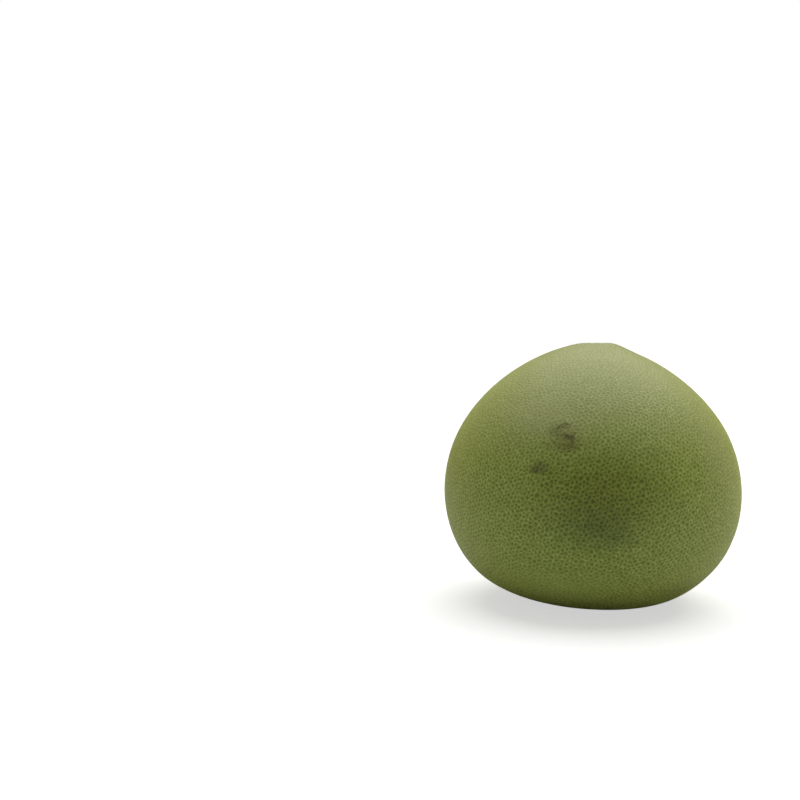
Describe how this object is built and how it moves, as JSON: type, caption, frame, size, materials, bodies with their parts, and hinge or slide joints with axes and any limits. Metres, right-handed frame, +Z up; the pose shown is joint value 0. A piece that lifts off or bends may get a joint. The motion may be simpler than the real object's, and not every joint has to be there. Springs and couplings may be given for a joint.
{
  "type": "pomelo",
  "caption": "Whole green pomelo with a rounded crown and a broad base, standing on the small flat spot under its blossom end.",
  "frame": {"origin": "middle of the fruit's box, on the surface that it rests on", "axes": "+Z up, from the blossom end to the stem end; +X along the widest way across, the way the base and the tip lean; +Y along the depth"},
  "size_m": [0.17, 0.1646, 0.1498],
  "materials": {
    "rind": "waxy citrus rind, dotted with dark oil glands on a paler yellow-green net"
  },
  "bodies": {
    "root": {"pomelo": "rind"}
  },
  "joints": []
}
